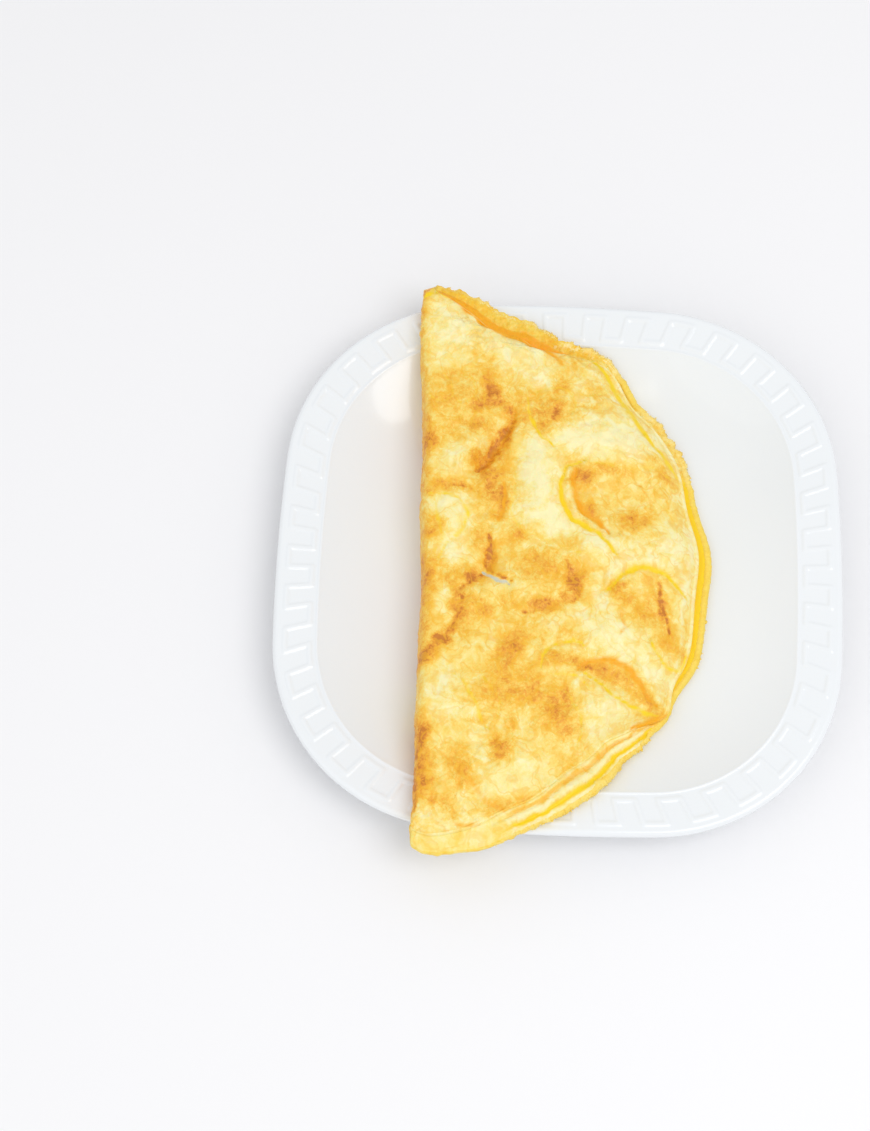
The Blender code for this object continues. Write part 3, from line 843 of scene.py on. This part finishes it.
def reliefOmelette(points, columns, angle, layers):
    o = omelette
    flatX, flatY = points[..., 0].copy(), points[..., 1].copy()
    depth = layers.pop("depth")
    lumps = o["lumps"] * noiseField(flatX, flatY, 11.0, 2, 1.7)
    lumps += o["dimples"] * noiseField(flatX, flatY, 4.5, 2, 2.9)
    turnX = flatX + 2.5 * noiseField(flatX, flatY, 7.0, 2, 40.0)
    turnY = flatY + 2.5 * noiseField(flatX, flatY, 7.0, 2, 44.0)
    wrinkles = 1 - 2 * np.abs(noiseField(turnX, turnY, 6.0, 3, 50.0))
    grain = noiseField(flatX, flatY, 1.3, 2, 60.0) * (o["grain"] + o["brownedGrain"] * layers["browned"])
    relief = lumps + o["wrinkles"] * (wrinkles - 0.6) + grain - depth
    top = columns["top"]
    count = top.stop - top.start
    ease = smooth(np.linspace(0, 1, count), 0, 0.03) * (1 - 0.6 * smooth(np.linspace(0, 1, count), 0.95, 1))
    points[:, top, 2] += (relief[:, top] - 0.1) * ease[None, :]
    fold = columns["fold"]
    side = np.sin(np.linspace(0, math.pi, fold.stop - fold.start))[None, :]
    z = points[:, fold, 2]
    dents = noiseField(flatY[:, fold], z * 0.6, 5.5, 3, 70.0)
    dents += 0.4 * noiseField(flatY[:, fold], z, 1.4, 2, 71.0)
    points[:, fold, 0] -= side * o["sideDents"] * dents
    fade = 0.5 + 0.5 * np.cos(np.linspace(0, math.pi, side.size))
    points[:, fold, 2] += relief[:, top][:, -1:] * 0.4 * fade
    ledge = columns["ledge"]
    rough = noiseField(flatX[:, ledge], flatY[:, ledge], 1.6, 3, 80.0)
    inner = np.sin(np.linspace(0, math.pi, ledge.stop - ledge.start))[None, :]
    points[:, ledge, 2] += inner * (0.25 + o["ledgeRough"] * crispness(angle)[:, None]) * (0.5 + rough)

    # the rim is ragged: spots near it move out or in along their own bearing
    bearing, away, inset = rimPlace(flatX, flatY)
    order = np.linspace(-100, 100, 4001)
    move = np.interp(bearing, order, rimJag(order)) * smooth(-inset, -5.0, -0.5)
    points[..., 0] += (flatX - o["middle"][0]) / away * move
    points[..., 1] += (flatY - o["middle"][1]) / away * move


def eggFinish():
    egg = Finish("brownedEgg", Subsurface_Weight=0.08, Subsurface_Scale=0.002, Specular_IOR_Level=0.35)
    place = egg.place()
    bend = egg.bent(place, 0.0060, 0.0050)
    twist = egg.bent(place, 0.0022, 0.0022)
    streak = egg.noise(bend, 0.0070, 4.0, 0.62, 0.8)
    grain = egg.noise(place, 0.0010, 2.0, 0.6)
    lace = egg.noise(twist, 0.0032, 4.0, 0.58, 0.8)
    longThreads = egg.ridge(egg.noise(bend, 0.0085, 2.0, 0.40, 1.0))
    fineThreads = egg.ridge(egg.noise(twist, 0.0019, 2.0, 0.5, 0.3))
    browned = egg.painted("browned")
    pale = egg.painted("pale")
    rough = 0.15 + browned * (0.95 - 0.45 * browned)  # lacy at the edges of a brown patch, smoother in it
    tone = (
        0.22 + browned * (0.46 + 0.30 * browned) - 0.27 * pale + 1.00 * (streak - 0.5)
        + 1.15 * (lace - 0.5) * rough + 0.40 * (grain - 0.5) * rough
        + 0.24 * fineThreads.between(0.60, 0.95) * rough
    ).clamped()
    colour = egg.node("ShaderNodeValToRGB", {"stops": omelette["tones"]}, {0: tone})
    threads = longThreads.between(0.72, 0.97) * (0.52 - 0.48 * pale)
    colour = egg.mix(threads, colour, omelette["threadTone"])
    yolk = (egg.painted("yolk") * (1.35 - 0.5 * lace)).between(0.12, 0.85)
    colour = egg.mix(yolk, colour, omelette["yolkTone"])
    groove = (egg.painted("groove") * (1.35 - 0.5 * lace)).between(0.15, 0.90)
    colour = egg.mix(groove, colour, omelette["grooveTone"])
    colour = egg.mix(egg.painted("slit").between(0.30, 0.65), colour, omelette["slitTone"])
    egg.link(colour, "Base Color")
    height = (0.5 * grain + 0.6 * lace + 0.3 * fineThreads) * (0.3 + 0.7 * browned) + 0.1 * longThreads
    egg.bump(height, 0.55, 0.0005)
    egg.link(0.34 + 0.20 * lace, "Roughness")
    return egg


# crisp edge

crisp = {
    "from": -88.6, "to": 89.6, "stations": 1700, "around": 14, "hug": 0.10, "growth": 0.70,
    # crumbs lie between two bearings, up to a distance in from the rim, with a share of their number
    "crumbs": 520, "crumbSeed": 7, "crumbRadius": (0.22, 0.52),
    "spreads": ((50, 88, 4.6, 0.62), (21, 38, 3.4, 0.20), (-74, -36, 0.8, 0.10), (-36, 21, 0.6, 0.04)),
    "friedTones": ((0.0, "fff0b0"), (0.3, "fee48c"), (0.6, "fcd563"), (0.85, "f8c048"), (1.0, "eca83a")),
    "softTones": ("fbe065", "f7cc34"),
}


def makeCrispEdge():
    # a thin lacy bead round the lower flap's edge, with crumbs on it
    angle = np.linspace(crisp["from"], crisp["to"], crisp["stations"])
    crispy = crispness(angle)
    turn = np.radians(angle)
    reach = omelette["radius"] + bells(angle, rimWaves) + rimJag(angle)
    tip = omelette["radius"] + bells(np.sign(angle) * 90.0, rimWaves)
    reach = np.minimum(reach, np.abs(tip / np.maximum(np.abs(np.sin(turn)), 0.2)))
    half = omelette["flap"] / 2
    around = np.arange(crisp["around"]) / crisp["around"] * 2 * math.pi
    outX, outY = np.cos(turn)[:, None], np.sin(turn)[:, None]
    middle = (reach - half)[:, None]
    shiftX = middle * outX + omelette["middle"][0]
    shiftY = middle * outY + omelette["middle"][1]
    wild = noiseField(angle[:, None] * alongRim, around[None, :] * 1.6 + 0 * angle[:, None], 1.0, 3, 90.0)
    wild = np.clip(0.25 + wild, 0, 1.4)
    size = half + crisp["hug"] + (0.10 + crisp["growth"] * crispy)[:, None] * wild
    ends = np.clip(np.minimum(np.arange(len(angle)), np.arange(len(angle))[::-1]) / 12.0, 0.0, 1.0)[:, None]
    wide, tall = size * np.cos(around)[None, :] * ends, (half + 0.2) * np.sin(around)[None, :] * ends
    tall = tall + 0.25 * wild * np.maximum(np.sin(around)[None, :], 0) * ends
    x, y = shiftX + wide * outX, shiftY + wide * outY
    z = restHeight(shiftX + half * outX, shiftY + half * outY) + half + tall
    points = stack(x, y, z)
    layers = {"crust": np.repeat(crispy[:, None], crisp["around"], axis=1)}
    edgeFinish = crustFinish()
    piece = layGrid("crispEdge", points, layers, edgeFinish.material)
    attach(piece, "root")
    makeCrumbs(edgeFinish)


def makeCrumbs(finish):
    rng = np.random.default_rng(crisp["crumbSeed"])
    bm = bmesh.new()
    crustLayer = bm.verts.layers.float.new("crust")
    for low, high, depth, share in crisp["spreads"]:
        for _ in range(int(crisp["crumbs"] * share)):
            angle = rng.uniform(low, high)
            inward = rng.uniform(-0.5, depth)
            radius = rng.uniform(*crisp["crumbRadius"])
            rim = omelette["radius"] + float(bells(angle, rimWaves)) + float(rimJag(np.array([angle]))[0])
            reach = rim - inward
            x = omelette["middle"][0] + reach * math.cos(math.radians(angle))
            y = omelette["middle"][1] + reach * math.sin(math.radians(angle))
            lift = omelette["flap"] * (1.0 if inward > 0.9 else rng.uniform(0.35, 0.9))
            raised = 0.8 * float(smooth(inward, 0.8, 2.4)) if angle > 48 else 0.0
            z = float(restHeight(np.array(x), np.array(y))) + lift - 0.1 * radius + raised
            made = bmesh.ops.create_icosphere(bm, subdivisions=1, radius=radius * mm)
            turnZ, turnX = rng.uniform(0, 6.28), rng.uniform(0, 3.14)
            spin = Matrix.Rotation(turnZ, 4, "Z") @ Matrix.Rotation(turnX, 4, "X")
            long, wide, thick = rng.uniform(0.9, 1.5), rng.uniform(0.8, 1.2), rng.uniform(0.5, 0.8)
            stretch = Matrix.Diagonal((long, wide, thick, 1.0))
            for vert in made["verts"]:
                vert.co *= rng.uniform(0.70, 1.30)
            place = Matrix.Translation(Vector((x, y, z)) * mm + Vector(plateMiddle))
            bmesh.ops.transform(bm, matrix=place @ spin @ stretch, verts=made["verts"])
            for vert in made["verts"]:
                vert[crustLayer] = float(crispness(np.array(angle)))
    mesh = bpy.data.meshes.new("crispCrumbs")
    bm.to_mesh(mesh)
    bm.free()
    piece = finishObject("crispCrumbs", mesh, finish.material)
    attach(piece, "root")


def crustFinish():
    crust = Finish("crispCrust", Roughness=0.5)
    place = crust.place()
    patch = crust.noise(place, 0.0045, 3.0, 0.6)
    grain = crust.noise(place, 0.0009, 2.0, 0.6)
    tone = (1.6 * (patch - 0.5) + 1.0 * (grain - 0.5) + 0.42).clamped()
    fried = crust.node("ShaderNodeValToRGB", {"stops": crisp["friedTones"]}, {0: tone})
    soft = crust.mix(tone, *crisp["softTones"])
    crust.link(crust.mix(crust.painted("crust"), soft, fried), "Base Color")
    crust.bump(grain + patch, 0.6, 0.0004)
    return crust


# stage

camera = {
    "aim": (-0.05017, -0.00609, 0.021), "distance": 0.8127, "azimuth": 4.98, "elevation": 69.41,
    "roll": -2.42, "lens": 63.66,
}
studio = {
    "sky": 0.775, "lampDistance": 1.4, "floorHalf": 3.0, "floorTones": ("f3f3f5", "f6f6f8"),
    # name, azimuth clockwise from +Y, elevation, watts, width in metres
    "lamps": (("keyLamp", 120, 64, 5.2, 0.9), ("fillLamp", 225, 40, 2.2, 1.8)),
}


def makeCamera():
    azimuth, elevation = math.radians(camera["azimuth"]), math.radians(camera["elevation"])
    back = Vector((
        math.sin(azimuth) * math.cos(elevation), -math.cos(azimuth) * math.cos(elevation),
        math.sin(elevation),
    ))
    lens = bpy.data.cameras.new("camera")
    lens.lens = camera["lens"]
    lens.clip_start = 0.01
    holder = bpy.data.objects.new("camera", lens)
    turn = back.to_track_quat("Z", "Y").to_matrix() @ Matrix.Rotation(math.radians(camera["roll"]), 3, "Z")
    aim = Vector(camera["aim"]) + Vector(plateMiddle)
    holder.matrix_world = Matrix.Translation(aim + back * camera["distance"]) @ turn.to_4x4()
    bpy.context.scene.collection.objects.link(holder)
    bpy.context.scene.camera = holder
    print("camera", camera["azimuth"], "degrees round,", camera["elevation"], "up")


def makeStage():
    bm = bmesh.new()
    bmesh.ops.create_grid(bm, x_segments=8, y_segments=8, size=studio["floorHalf"])
    mesh = bpy.data.meshes.new("floor")
    bm.to_mesh(mesh)
    bm.free()
    paint = Finish("paleFloor", Roughness=0.6)
    cloud = paint.noise(paint.place(), 0.4, 1.0)
    paint.link(paint.mix(cloud, *studio["floorTones"]), "Base Color")
    floor = finishObject("floor", mesh, paint.material)

    world = bpy.data.worlds.new("studio")
    world.use_nodes = True
    sky = world.node_tree.nodes["Background"]
    sky.inputs["Color"].default_value = (1.0, 1.0, 1.0, 1.0)
    sky.inputs["Strength"].default_value = studio["sky"]
    bpy.context.scene.world = world
    bpy.context.scene.view_settings.view_transform = "Standard"

    for name, azimuth, elevation, power, width in studio["lamps"]:
        lamp = bpy.data.lights.new(name, "AREA")
        lamp.shape = "DISK"
        lamp.size = width
        lamp.energy = power
        turn, rise = math.radians(azimuth), math.radians(elevation)
        toLamp = Vector((math.sin(turn) * math.cos(rise), math.cos(turn) * math.cos(rise), math.sin(rise)))
        holder = bpy.data.objects.new(name, lamp)
        holder.location = toLamp * studio["lampDistance"]
        holder.rotation_euler = toLamp.to_track_quat("Z", "Y").to_euler()
        bpy.context.scene.collection.objects.link(holder)
    print("floor, sky and", len(studio["lamps"]), "lamps")


makeCamera()
makeStage()
makePlate()
makeOmelette()
makeCrispEdge()
